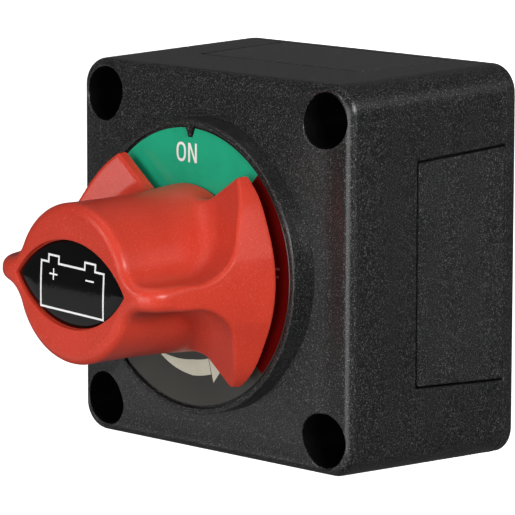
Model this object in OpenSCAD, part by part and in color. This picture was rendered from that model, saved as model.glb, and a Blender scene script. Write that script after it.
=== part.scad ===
// Surface-mount rotary battery switch: a square moulded housing with a round dial,
// a two-position hand knob, and a copper bridge that joins two M10 terminal studs.
// Row frame: X to the right, Y into the wall, Z up. The origin is the centre of the
// rear mounting face. Each module draws in a bench frame with z running forward from
// the rear face, and upright() turns it into the row frame.

/* [Housing] */
// Width and height of the body at its rear edge
body_w = 69; // [68:0.5:72]
// Depth from the mounting face to the middle of the domed front face
body_depth = 43.6; // [43:0.2:44.4]
// Radius of the shallow dome of the front face
face_r = 212; // [180:4:260]
// Amount that each side leans in between the rear and the front
body_draft = 0.8; // [0.4:0.1:1]
// Radius of the four long corners
corner_r = 5; // [4.6:0.1:5.6]
// Radius of the edge round the front face, between the screw holes
front_edge_r = 4.4; // [3.6:0.2:4.4]
// Radius of the edge round the front face, at its corners
corner_edge_r = 2; // [1.5:0.25:2.5]
// Thickness of the side walls at the terminal cavity
wall_t = 3.1; // [2.8:0.1:3.3]
// Thickness of the rear cover
cover_t = 2.4; // [2:0.1:2.6]

/* [Mounting screws] */
// Distance between the centres of the corner screw holes, both ways
screw_pitch = 55; // [54.5:0.25:55.5]
// Diameter of the screw clearance hole
screw_hole_d = 5.2; // [4.6:0.1:5.6]
// Diameter of the deep counterbore that hides the screw head
head_well_d = 9.6; // [9:0.1:9.8]

/* [Dial] */
// Outer radius of the printed dial label
dial_r = 24.4; // [24:0.1:24.6]
// Height of the raised collar above the front face
collar_h = 3.6; // [3.2:0.1:4]
// Width of the collar's rim
collar_rim = 1.05; // [0.9:0.05:1.4]

/* [Knob] */
// Distance from the mounting face to the front of the knob
knob_front = 73.6; // [72:0.2:75]
// Radius of the two wings at their lower edge
wing_r = 23.4; // [23:0.1:23.8]
// Radius of the knob's end faces at the front
grip_r = 20.3; // [19.5:0.1:21]
// Thickness of the rib that the fingers turn
rib_t = 4.6; // [4:0.2:5.4]
// Angle at which the knob stands against its ON stop, from level
knob_play = -2.5; // [-3:0.5:0]

/* [Terminals] */
// Distance between the two terminal studs
stud_pitch = 32; // [31:0.5:33]
// Thread diameter of the terminal studs
stud_d = 10; // [8:1:10]

/* [Hidden] */

$fn = 64;
round_fn = 32;              // facets of a rounded corner
eps = 0.01;
reach = 100;                // longer than anything it cuts

// Housing
rear_half = body_w / 2;
front_half = rear_half - body_draft;
screw_at = screw_pitch / 2;
screw_hole_r = screw_hole_d / 2;
head_well_r = head_well_d / 2;
head_seat_z = 9;            // floor of the counterbores
cavity_half = rear_half - wall_t;
tube_r = head_well_r + 1.8; // outside of the four screw tubes
ledge_z = 27.4;             // shoulder that the contact base seats against
chamber_half = 28.2;        // inside of the switching chamber
front_wall_t = 3;
front_corner = front_half - corner_r;
corner_z = face_z(screw_at * sqrt(2));
edge_z = corner_z - corner_edge_r;
chamber_top_z = corner_z - front_wall_t;

// Collar and dial
label_t = 0.35;
collar_in_r = dial_r + 0.35;
collar_out_r = collar_in_r + collar_rim;
collar_top_z = face_z(collar_out_r) + collar_h;
label_seat_z = collar_top_z - 0.7;
dome_r = 22.6;
dome_top_z = label_seat_z - front_wall_t;
hub_hole_r = 9;
pointer_tip_r = 22.9;
pointer_half_w = 1.15;
notch_half_w = 1.65;
notch_tip_r = pointer_tip_r - 0.25;

// Bearing, rotor and knob
shaft_r = 6;
bearing_r = shaft_r + 0.05;
boss_r = 9.5;
boss_z = 38;
washer_t = 0.6;
rotor_top_z = boss_z - washer_t;
rotor_t = 3.8;
rotor_z = rotor_top_z - rotor_t;
rotor_r = 19.5;
shaft_top_z = label_seat_z + 0.5;
drive_w = 8.2;              // square that drives the knob
drive_top_z = 59.5;
seal_z = 43;
seal_cord_r = 0.75;
lug_angle = 45;
lug_half_angle = 8;
lug_r = 22.3;
travel = 90;
stop_width = 10;            // degrees
stop_gap = 1;               // degrees
stop_in_r = 20.8;
stop_out_r = 23.4;

// Knob
knob_bottom_z = label_seat_z + label_t + 0.35;
wing_z = knob_bottom_z + 1.5;
wing_edge_t = 1.55;         // wing thickness beside the dial windows
barrel_base_r = 14.7;
barrel_waist_r = 13.75;
barrel_waist_z = 66;
grip_edge_r = 4.5;          // roundness of the grip's front edge
window_foot = [8.2, 13.4];  // where a window's side meets the barrel
window_slope = 39;          // degrees from level
scoop_rise = 24;            // degrees that the finger scoops climb outwards
eye_half_w = 13.7;
eye_half_h = 7.6;
eye_depth = 1.2;
badge_gap = 0.15;
badge_t = 0.7;
knob_screw_r = 2;
knob_head_r = 3.8;
knob_head_z = 63;
knob_head_t = 3;
relief_in_r = 7.6;
relief_out_r = 12;
relief_top_z = 68;

// Contacts
base_z = 24.4;
base_t = 2.6;
platform_r = 23.6;
platform_top_z = base_z + base_t + 1;
gasket_t = ledge_z - base_z - base_t;
stud_at = stud_pitch / 2;
stud_r = stud_d / 2;
stud_end_z = 5;
stud_head_r = 8;
stud_head_t = 2.2;
tip_r = 3.5;
tip_t = 0.8;
bridge_z = platform_top_z + stud_head_t + tip_t;
bridge_t = 2;
bridge_w = 10;
bridge_half = 19.5;
spring_in_r = 2.6;
spring_out_r = 6;
spring_t = 0.5;
spring_pocket_r = 6.4;
spring_top_z = rotor_z + 3;

// Fasteners
nut_af = 17;
jam_nut_t = 5;
terminal_nut_t = 8;
washer_out_r = 10.5;
flat_washer_t = 2;
spring_washer_t = 2.5;
jam_nut_z = base_z - jam_nut_t;
flat_washer_z = jam_nut_z - flat_washer_t;
spring_washer_z = flat_washer_z - spring_washer_t;
terminal_nut_z = spring_washer_z - terminal_nut_t;
thread_gap = 0.02;
base_screw_at = [16, 26];
base_screw_r = 1.35;
base_boss_r = 3.4;

// Cable plates
plate_front_z = 24.2;
plate_half_front = 19.8;
plate_half_rear = 20.9;
plate_gap_ends = 0.45;
plate_gap_front = 0.2;
plate_t = 2.6;
leg_t = 1.5;
leg_in = 3;

// Angle of cable plate i, counted anticlockwise from the right
function plate_angle(i) = 90 * i;

// Height of the domed front face at radius r
function face_z(r) = body_depth - face_r + sqrt(face_r * face_r - r * r);

// Half width of the drafted body at height z
function side_half(z) = rear_half - body_draft * (z - cover_t) / (edge_z - cover_t);

// Radius of the barrel at height z, narrowest at its waist
function barrel_r(z) =
    barrel_waist_r + (barrel_base_r - barrel_waist_r)
    * pow((z - barrel_waist_z) / (barrel_waist_z - knob_bottom_z), 2);

// Radius of a lens's two arcs, from its half width and half height
function lens_arc_r(w, h) = (w * w + h * h) / (2 * h);

// Turns the bench frame (z forward) into the row frame (forward is -Y)
module upright() {
    rotate([90, 0, 0])
        children();
}

// Turns what rides on the knob by its play
module turned() {
    upright()
        rotate([0, 0, knob_play])
            children();
}

module at_corners(x, y) {
    for (sx = [-1, 1])
        for (sy = [-1, 1])
            translate([sx * x, sy * y, 0])
                children();
}

module at_studs() {
    for (s = [-1, 1])
        translate([s * stud_at, 0, 0])
            children();
}

module slab(z0, z1) {
    translate([0, 0, z0])
        linear_extrude(z1 - z0)
            children();
}

module disc(r, z0, z1) {
    translate([0, 0, z0])
        cylinder(r = r, h = z1 - z0);
}

module ring(r_in, r_out, z0, z1) {
    difference() {
        disc(r_out, z0, z1);
        disc(r_in, z0 - 1, z1 + 1);
    }
}

// Ring sector between two angles
module sector(r_in, r_out, a0, a1, z0, z1) {
    translate([0, 0, z0])
        rotate_extrude(start = a0, angle = a1 - a0)
            translate([r_in, 0])
                square([r_out - r_in, z1 - z0]);
}

// Square with its corners left to the screw tubes
module cavity_shape(half, tube) {
    difference() {
        square(2 * half, center = true);
        for (sx = [-1, 1])
            for (sy = [-1, 1])
                translate([sx * screw_at, sy * screw_at]) {
                    circle(tube);
                    for (a = [0, 90])
                        rotate(a)
                            translate([sx * (a == 0 ? 1 : sy * sx), 0] * half / 2)
                                square([half, 2 * tube], center = true);
                }
    }
}

// Quarter round of one front corner, from edge_z up
module front_corner_form() {
    flat_r = corner_r - corner_edge_r;
    rotate_extrude($fn = round_fn)
        intersection() {
            square([corner_r, corner_edge_r]);
            union() {
                square([flat_r, corner_edge_r]);
                translate([flat_r, 0])
                    circle(corner_edge_r, $fn = round_fn);
            }
        }
}

// Outside of the housing: drafted sides, a domed front face and round edges
module body_form() {
    rear_corner = rear_half - corner_r;
    face_half = front_half - front_edge_r;
    inset = 0.02;
    hull() {
        at_corners(rear_corner, rear_corner)
            translate([0, 0, cover_t])
                cylinder(r = corner_r, h = eps, $fn = round_fn);
        at_corners(front_corner, front_corner)
            translate([0, 0, edge_z])
                front_corner_form();
        for (a = [0 : 90 : 270])
            for (s = [-0.7, -0.35, 0, 0.35, 0.7]) {
                along = s * face_half;
                z = face_z(norm([face_half, along])) - front_edge_r;
                rotate([0, 0, a])
                    translate([side_half(z) - front_edge_r - inset, along, z])
                        sphere(front_edge_r, $fn = round_fn);
            }
        rotate_extrude()
            polygon([
                [0, edge_z],
                for (r = [face_half : -face_half / 5 : 0.1])
                    [r, face_z(r)],
                [0, body_depth],
            ]);
    }
}

// Trapezium of one cable entry, wider at the rear, through the right-hand wall
module cable_entry(grow_ends, grow_front) {
    front = plate_front_z + grow_front;
    half_front = plate_half_front + grow_ends;
    half_rear = plate_half_rear + grow_ends;
    translate([cavity_half - 1, 0, 0])
        rotate([90, 0, 90])
            linear_extrude(rear_half - cavity_half + 2)
                polygon([
                    [-half_rear, cover_t - grow_front],
                    [half_rear, cover_t - grow_front],
                    [half_front, front],
                    [-half_front, front],
                ]);
}

module corner_screw_holes() {
    at_corners(screw_at, screw_at) {
        disc(screw_hole_r, -1, head_seat_z + 1);
        disc(head_well_r, head_seat_z, body_depth);
    }
}

module dial_pointer() {
    slab(label_seat_z, collar_top_z)
        polygon([
            [-pointer_half_w, collar_in_r + 0.3],
            [pointer_half_w, collar_in_r + 0.3],
            [0.35, pointer_tip_r],
            [-0.35, pointer_tip_r],
        ]);
}

module housing() {
    color("#2b2c2c")
        upright() {
            difference() {
                union() {
                    body_form();
                    disc(collar_out_r, chamber_top_z, collar_top_z);
                }
                slab(0, ledge_z)
                    cavity_shape(cavity_half, tube_r);
                slab(ledge_z - 1, chamber_top_z)
                    cavity_shape(chamber_half, tube_r);
                disc(dome_r, chamber_top_z - 1, dome_top_z);
                disc(collar_in_r, label_seat_z, collar_top_z + 1);
                disc(bearing_r, dome_top_z - 1, collar_top_z);
                corner_screw_holes();
                for (i = [0 : 3])
                    rotate([0, 0, plate_angle(i)])
                        cable_entry(0, 0);
            }
            ring(bearing_r, boss_r, boss_z, dome_top_z + eps);
            at_corners(base_screw_at[0], base_screw_at[1])
                ring(base_screw_r + thread_gap, base_boss_r, ledge_z, chamber_top_z + eps);
            dial_pointer();
        }
}

module rear_cover() {
    lip_top_z = cover_t + 1.8;
    lip_half = cavity_half - 0.2;
    color("#272828")
        upright()
            difference() {
                union() {
                    hull()
                        at_corners(rear_half - corner_r, rear_half - corner_r)
                            cylinder(r = corner_r, h = cover_t, $fn = round_fn);
                    slab(cover_t - eps, lip_top_z)
                        difference() {
                            cavity_shape(lip_half, tube_r + 0.2);
                            cavity_shape(lip_half - 1.6, tube_r + 1.8);
                        }
                }
                at_corners(screw_at, screw_at)
                    disc(screw_hole_r, -1, lip_top_z);
            }
}

// One cable plate, drawn at the right and turned to its side
module cable_plate(i) {
    inner = rear_half - plate_t;
    color("#303131")
        upright()
            rotate([0, 0, plate_angle(i)]) {
                intersection() {
                    body_form();
                    cable_entry(-plate_gap_ends, -plate_gap_front);
                    translate([inner, -reach / 2, 0])
                        cube([plate_t, reach, reach]);
                }
                for (s = [-1, 1])
                    translate([inner - leg_in, s * (plate_half_front - 2.5) - leg_t / 2, 7])
                        cube([leg_in + eps, leg_t, 12]);
            }
}

module cable_plate_right() { cable_plate(0); }
module cable_plate_top() { cable_plate(1); }
module cable_plate_left() { cable_plate(2); }
module cable_plate_bottom() { cable_plate(3); }

module dial_label() {
    color("#0e9a6c")
        upright()
            slab(label_seat_z, label_seat_z + label_t)
                difference() {
                    circle(dial_r, $fn = 128);
                    circle(hub_hole_r);
                    polygon([
                        [-notch_half_w, dial_r + 1],
                        [notch_half_w, dial_r + 1],
                        [0.55, notch_tip_r],
                        [-0.55, notch_tip_r],
                    ]);
                }
}

// Lens shape of the knob's eye
module lens(half_w, half_h) {
    arc_r = lens_arc_r(half_w, half_h);
    intersection_for (s = [-1, 1])
        translate([0, s * (arc_r - half_h)])
            circle(arc_r, $fn = 128);
}

// Solid of revolution that bounds the knob's rib and wings
module grip_form() {
    edge_at = grip_r - grip_edge_r;
    rotate_extrude($fn = 96)
        polygon([
            [0, wing_z],
            [wing_r, wing_z],
            for (a = [6 : 12 : 90])
                [edge_at + grip_edge_r * cos(a), knob_front - grip_edge_r * (1 - sin(a))],
            [0, knob_front],
        ]);
}

module barrel() {
    step = 4;
    rotate_extrude($fn = 96)
        polygon([
            [0, knob_bottom_z],
            for (z = [knob_bottom_z : step : knob_front - 2])
                [barrel_r(z), z],
            [barrel_waist_r, knob_front - 1.2],
            [barrel_waist_r - 1.2, knob_front],
            [0, knob_front],
        ]);
}

// Wedge under one finger scoop, in the upper right quarter
module wing_wedge() {
    length = 40;
    rise = length * tan(scoop_rise);
    intersection() {
        translate([window_foot[0], window_foot[1], 0])
            rotate([0, 0, window_slope])
                translate([-length / 2, 0, 0])
                    rotate([90, 0, 90])
                        linear_extrude(length)
                            polygon([
                                [0, wing_z],
                                [0, wing_z + wing_edge_t],
                                [-length, wing_z + wing_edge_t + rise],
                                [-length, wing_z],
                            ]);
        cube([reach, reach, reach]);
    }
}

module knob() {
    color("#dc4432")
        turned()
            difference() {
                union() {
                    barrel();
                    intersection() {
                        grip_form();
                        union() {
                            translate([-reach / 2, -rib_t / 2, 0])
                                cube([reach, rib_t, reach]);
                            for (mx = [0, 1])
                                for (my = [0, 1])
                                    mirror([mx, 0, 0])
                                        mirror([0, my, 0])
                                            wing_wedge();
                        }
                    }
                }
                slab(knob_front - eye_depth, knob_front + 1)
                    lens(eye_half_w, eye_half_h);
                slab(knob_bottom_z - 1, drive_top_z + 0.5)
                    square(drive_w + 0.1, center = true);
                disc(knob_screw_r + 0.1, drive_top_z, knob_front);
                disc(knob_head_r + 0.1, knob_head_z, knob_front);
                ring(relief_in_r, relief_out_r, knob_bottom_z - 1, relief_top_z);
            }
}

module knob_badge() {
    floor_z = knob_front - eye_depth;
    color("#0a0a0a")
        turned()
            slab(floor_z, floor_z + badge_t)
                lens(eye_half_w - badge_gap, eye_half_h - badge_gap);
}

module knob_screw() {
    color("silver")
        turned()
            difference() {
                union() {
                    disc(knob_screw_r, 50, knob_head_z + eps);
                    disc(knob_head_r, knob_head_z, knob_head_z + knob_head_t);
                }
                for (a = [0, 90])
                    rotate([0, 0, a])
                        translate([-2.4, -0.45, knob_head_z + 1.4])
                            cube([4.8, 0.9, knob_head_t]);
            }
}

module rotor() {
    prong_z = bridge_z - 0.2;
    color("#d8d4c8")
        turned()
            difference() {
                union() {
                    disc(rotor_r, rotor_z, rotor_top_z);
                    sector(rotor_r - 2, lug_r, lug_angle - lug_half_angle,
                        lug_angle + lug_half_angle, rotor_z, rotor_top_z);
                    disc(shaft_r, rotor_top_z - eps, shaft_top_z);
                    slab(shaft_top_z - eps, drive_top_z)
                        square(drive_w, center = true);
                    for (s = [-1, 1])
                        translate([-9, s * (bridge_w / 2 + 1.4) - 1.2, prong_z])
                            cube([18, 2.4, rotor_z - prong_z + eps]);
                }
                disc(spring_pocket_r, rotor_z - 1, spring_top_z);
                disc(knob_screw_r + thread_gap, 49, drive_top_z + 1);
                ring(shaft_r - 1.55, shaft_r + 1, seal_z - 1, seal_z + 1);
            }
}

module shaft_seal() {
    color("#1c1c1c")
        turned()
            translate([0, 0, seal_z])
                rotate_extrude()
                    translate([bearing_r - seal_cord_r - 0.01, 0])
                        circle(seal_cord_r);
}

module thrust_washer() {
    color("#e8e2d0")
        upright()
            ring(shaft_r + 0.2, boss_r - 0.5, rotor_top_z, boss_z);
}

module contact_bridge() {
    color("#b87333")
        turned()
            slab(bridge_z, bridge_z + bridge_t)
                intersection() {
                    square([2 * bridge_half, bridge_w], center = true);
                    circle(bridge_half, $fn = 96);
                }
}

module bridge_tips() {
    color("#c9c9c4")
        turned()
            at_studs()
                disc(tip_r, bridge_z - tip_t, bridge_z);
}

// Pair of conical disc springs, back to back between the bridge and the rotor
module bridge_spring() {
    low_z = bridge_z + bridge_t + thread_gap;
    high_z = spring_top_z - thread_gap;
    mid_z = (low_z + high_z) / 2;
    color("#9a9a9a")
        turned()
            rotate_extrude() {
                polygon([
                    [spring_in_r, low_z],
                    [spring_out_r, mid_z - spring_t - thread_gap],
                    [spring_out_r, mid_z - thread_gap],
                    [spring_in_r, low_z + spring_t],
                ]);
                polygon([
                    [spring_in_r, high_z],
                    [spring_in_r, high_z - spring_t],
                    [spring_out_r, mid_z + thread_gap],
                    [spring_out_r, mid_z + spring_t + thread_gap],
                ]);
            }
}

module contact_base() {
    rest_angle = lug_angle + knob_play;
    first_stop = rest_angle - lug_half_angle - stop_gap - stop_width;
    last_stop = rest_angle + travel + lug_half_angle + stop_gap;
    color("#3a3632")
        upright() {
            difference() {
                union() {
                    slab(base_z, base_z + base_t)
                        cavity_shape(cavity_half - 0.3, tube_r + 0.3);
                    disc(platform_r, base_z, platform_top_z);
                }
                at_studs()
                    disc(stud_r + 0.05, 0, platform_top_z + 1);
                at_corners(base_screw_at[0], base_screw_at[1])
                    disc(base_screw_r + 0.5, 0, platform_top_z + 1);
            }
            for (a = [first_stop, last_stop])
                sector(stop_in_r, stop_out_r, a, a + stop_width,
                    platform_top_z - eps, rotor_top_z - 1);
        }
}

module base_gasket() {
    color("#202020")
        upright()
            slab(base_z + base_t, base_z + base_t + gasket_t)
                difference() {
                    cavity_shape(cavity_half - 0.3, tube_r + 0.3);
                    cavity_shape(chamber_half + 0.2, tube_r + 2);
                }
}

module base_screws() {
    head_r = 3.2;
    head_t = 2.2;
    color("silver")
        upright()
            at_corners(base_screw_at[0], base_screw_at[1]) {
                disc(head_r, base_z - head_t, base_z);
                disc(base_screw_r, base_z - eps, chamber_top_z - 3);
            }
}

module stud() {
    color("#c8a24a") {
        disc(stud_head_r, platform_top_z, platform_top_z + stud_head_t);
        disc(stud_r, stud_end_z, platform_top_z + eps);
    }
}

module stud_right() {
    upright()
        translate([stud_at, 0, 0])
            stud();
}

module stud_left() {
    upright()
        translate([-stud_at, 0, 0])
            stud();
}

// Pair of hexagon nuts from z0 to z1
module nut_pair(z0, z1) {
    upright()
        at_studs()
            difference() {
                translate([0, 0, z0])
                    cylinder(r = nut_af / 2 / cos(30), h = z1 - z0, $fn = 6);
                disc(stud_r + thread_gap, z0 - 1, z1 + 1);
            }
}

module jam_nuts() {
    color("#c9a556")
        nut_pair(jam_nut_z, base_z);
}

module flat_washers() {
    color("#c2c2c2")
        upright()
            at_studs()
                ring(stud_r + 0.25, washer_out_r, flat_washer_z, jam_nut_z);
}

module spring_washers() {
    slit = 0.8;
    color("#a8a8a8")
        upright()
            at_studs()
                difference() {
                    ring(stud_r + 0.25, nut_af / 2, spring_washer_z, flat_washer_z);
                    translate([0, -slit / 2, spring_washer_z - 1])
                        cube([nut_af, slit, spring_washer_t + 2]);
                }
}

module terminal_nuts() {
    color("#c4c4c4")
        nut_pair(terminal_nut_z, spring_washer_z);
}

housing();
rear_cover();
cable_plate_right();
cable_plate_top();
cable_plate_left();
cable_plate_bottom();
dial_label();
knob();
knob_badge();
knob_screw();
rotor();
shaft_seal();
thrust_washer();
contact_bridge();
bridge_tips();
bridge_spring();
contact_base();
base_gasket();
base_screws();
stud_right();
stud_left();
jam_nuts();
flat_washers();
spring_washers();
terminal_nuts();
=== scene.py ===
"""Looks of a surface-mount rotary battery switch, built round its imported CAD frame.

Shapes are worked out in a bench frame, in millimetres: x to the right, y up and z forward from
the mounting face. to_row() turns it into the row frame, in metres, where forward is -Y.
"""

import math

import bmesh
import bpy
import numpy as np
from mathutils import Matrix, Vector


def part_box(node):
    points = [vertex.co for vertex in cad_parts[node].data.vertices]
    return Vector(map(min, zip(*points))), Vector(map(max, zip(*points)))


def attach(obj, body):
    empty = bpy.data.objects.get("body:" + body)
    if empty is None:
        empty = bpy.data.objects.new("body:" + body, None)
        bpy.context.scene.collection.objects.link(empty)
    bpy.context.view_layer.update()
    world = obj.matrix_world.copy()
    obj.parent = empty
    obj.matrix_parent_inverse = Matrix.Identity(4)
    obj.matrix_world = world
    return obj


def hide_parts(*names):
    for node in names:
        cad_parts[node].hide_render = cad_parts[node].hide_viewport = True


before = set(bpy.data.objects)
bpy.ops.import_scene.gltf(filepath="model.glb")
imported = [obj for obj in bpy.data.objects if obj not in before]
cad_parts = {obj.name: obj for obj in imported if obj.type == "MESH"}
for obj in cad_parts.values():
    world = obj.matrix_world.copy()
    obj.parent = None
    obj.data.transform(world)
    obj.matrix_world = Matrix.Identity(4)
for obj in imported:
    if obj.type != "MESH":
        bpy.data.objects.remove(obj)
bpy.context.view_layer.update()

MM = 0.001
TURN = math.tau


# ---------------------------------------------------------------- sizes, in millimetres


def extent(node):
    """Lowest and highest corner of a CAD node in the bench frame."""
    lo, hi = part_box(node)
    return (
        np.array([lo[0], lo[2], -hi[1]]) / MM,
        np.array([hi[0], hi[2], -lo[1]]) / MM,
    )


def height_of(node):
    """Lowest and highest z of a CAD node."""
    lo, hi = extent(node)
    return float(lo[2]), float(hi[2])


REAR_HALF = float(extent("rear_cover")[1][0])
COVER_T = 2.4
FACE_TOP = 43.6
FACE_R = 212.0
FRONT_HALF = REAR_HALF - 0.8
CORNER_R = 5.0
FRONT_EDGE_R = 4.4
CORNER_EDGE_R = 2.0
CORNER_Z = 40.0
EDGE_Z = CORNER_Z - CORNER_EDGE_R
CAVITY_HALF = REAR_HALF - 3.1
CHAMBER_HALF = 28.2
LEDGE_Z = 27.4
CHAMBER_TOP_Z = 37.0
RELIEF_R = 22.6
RELIEF_TOP_Z = 41.9
BEARING_R = 6.05
BOSS_R = 9.5
PILLAR_R = 3.4
PILLAR_HOLE_R = 1.37
BASE_SCREW_AT = (16, 26)

SCREW_AT = 27.5
SCREW_HOLE_R = 2.6
HEAD_WELL_R = 4.8
HEAD_SEAT_Z = 9.0
TUBE_R = HEAD_WELL_R + 1.8

COLLAR_TOP_Z = height_of("housing")[1]
DIAL_R = float(extent("dial_label")[1][0])
LABEL_SEAT_Z, LABEL_TOP_Z = height_of("dial_label")
COLLAR_IN_R = DIAL_R + 0.35
COLLAR_OUT_R = COLLAR_IN_R + 1.05

KNOB_PLAY = -2.5
KNOB_BOTTOM, KNOB_FRONT = height_of("knob")
WING_Z = KNOB_BOTTOM + 1.5
BADGE_TOP_Z = height_of("knob_badge")[1]

PLATE_FRONT_Z = 24.2
PLATE_HALF_FRONT = 19.8
PLATE_HALF_REAR = 20.9


# ---------------------------------------------------------------- mesh helpers


def to_row(p):
    """A bench-frame point in millimetres as a row-frame point in metres."""
    return Vector((p[0], -p[2], p[1])) * MM


def turned(points, degrees):
    """Points turned about the bench z axis."""
    a = math.radians(degrees)
    c, s = math.cos(a), math.sin(a)
    return [(x * c - y * s, x * s + y * c, z) for x, y, z in points]


def mesh_object(name, points, faces):
    """An object from bench-frame points and faces."""
    mesh = bpy.data.meshes.new(name)
    mesh.from_pydata([to_row(p) for p in points], [], faces)
    mesh.validate()
    obj = bpy.data.objects.new(name, mesh)
    bpy.context.scene.collection.objects.link(obj)
    return obj


def face_outwards(obj):
    """Turns every face of a closed mesh outwards."""
    bm = bmesh.new()
    bm.from_mesh(obj.data)
    bmesh.ops.recalc_face_normals(bm, faces=bm.faces)
    bm.to_mesh(obj.data)
    bm.free()


def loft(name, loops, close_ends=True):
    """A closed skin over loops of equal length, with flat ends."""
    n = len(loops[0])
    points = [p for loop in loops for p in loop]
    faces = []
    for i in range(len(loops) - 1):
        for k in range(n):
            m = (k + 1) % n
            faces.append((i * n + k, i * n + m, (i + 1) * n + m, (i + 1) * n + k))
    if close_ends:
        faces.append(tuple(reversed(range(n))))
        faces.append(tuple(range((len(loops) - 1) * n, len(loops) * n)))
    obj = mesh_object(name, points, faces)
    face_outwards(obj)
    return obj


def circle_loop(r, z, steps, at=(0, 0)):
    """A level circle of points round at."""
    return [
        (at[0] + r * math.cos(TURN * k / steps), at[1] + r * math.sin(TURN * k / steps), z)
        for k in range(steps)
    ]


def lathe(name, profile, steps=96, at=(0, 0)):
    """A solid of revolution about the bench z axis from (radius, z) points, closed at both ends."""
    return loft(name, [circle_loop(max(r, 0.01), z, steps, at) for r, z in profile])


def arc(cx, cy, r, a0, a1, steps):
    """Points of an arc, angles in degrees."""
    return [
        (
            cx + r * math.cos(math.radians(a0 + (a1 - a0) * i / steps)),
            cy + r * math.sin(math.radians(a0 + (a1 - a0) * i / steps)),
        )
        for i in range(steps + 1)
    ]


def prism(name, outline, z0, z1):
    """An outline of (x, y) points drawn out from z0 to z1."""
    return loft(name, [[(x, y, z) for x, y in outline] for z in (z0, z1)])


def rounded_square(half, r, z, steps=10, along=1):
    """A square loop with round corners, and along points to each straight side."""
    points = []
    for i, (sx, sy) in enumerate(((1, 1), (-1, 1), (-1, -1), (1, -1))):
        c = half - r
        points += [(x, y, z) for x, y in arc(sx * c, sy * c, r, 90 * i, 90 * i + 90, steps)]
        start = points[-1]
        end = turned([(half, -c, z)], 90 * (i + 1))[0]
        for k in range(1, along):
            f = k / along
            x, y = (start[i] + (end[i] - start[i]) * f for i in (0, 1))
            points.append((x, y, z))
    return points


def drop(obj):
    """Deletes an object and its mesh."""
    mesh = obj.data
    bpy.data.objects.remove(obj)
    bpy.data.meshes.remove(mesh)


def baked(obj):
    """Applies the object's modifiers."""
    graph = bpy.context.evaluated_depsgraph_get()
    mesh = bpy.data.meshes.new_from_object(obj.evaluated_get(graph))
    old = obj.data
    obj.modifiers.clear()
    obj.data = mesh
    bpy.data.meshes.remove(old)
    return obj


def combine(obj, tools, operation):
    """Joins or cuts obj with each tool in turn, and deletes the tools."""
    for tool in tools:
        mod = obj.modifiers.new("cut", "BOOLEAN")
        mod.operation = operation
        mod.solver = "EXACT"
        mod.object = tool
        baked(obj)
        drop(tool)
    return obj


def welded(obj):
    """Merges points closer than a quarter of a micrometre, which booleans leave behind."""
    bm = bmesh.new()
    bm.from_mesh(obj.data)
    bmesh.ops.remove_doubles(bm, verts=bm.verts, dist=2.5e-7)
    bmesh.ops.dissolve_degenerate(bm, edges=bm.edges, dist=1e-7)
    bm.to_mesh(obj.data)
    bm.free()
    return obj


def smooth(obj, angle=32, weighted=True):
    """Smooth shading that breaks at edges sharper than angle."""
    mesh = obj.data
    mesh.shade_smooth()
    mesh.set_sharp_from_angle(angle=math.radians(angle))
    if weighted:
        mod = obj.modifiers.new("normals", "WEIGHTED_NORMAL")
        mod.keep_sharp = True
        mod.weight = 80
    return obj


def soften(obj, width, segments=2, angle=30):
    """A small bevel on every sharp edge."""
    mod = obj.modifiers.new("edges", "BEVEL")
    mod.width = width * MM
    mod.segments = segments
    mod.limit_method = "ANGLE"
    mod.angle_limit = math.radians(angle)
    mod.harden_normals = True
    mod.use_clamp_overlap = True
    return obj


# ---------------------------------------------------------------- surfaces from fields


def union_round(a, b, r):
    """Union of two distance fields with a fillet of radius r in the corner."""
    u, v = np.maximum(r - a, 0), np.maximum(r - b, 0)
    return np.maximum(r, np.minimum(a, b)) - np.hypot(u, v)


def cross_round(a, b, r):
    """Intersection of two distance fields with the edge rounded to radius r."""
    u, v = np.maximum(r + a, 0), np.maximum(r + b, 0)
    return np.minimum(-r, np.maximum(a, b)) + np.hypot(u, v)


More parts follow.
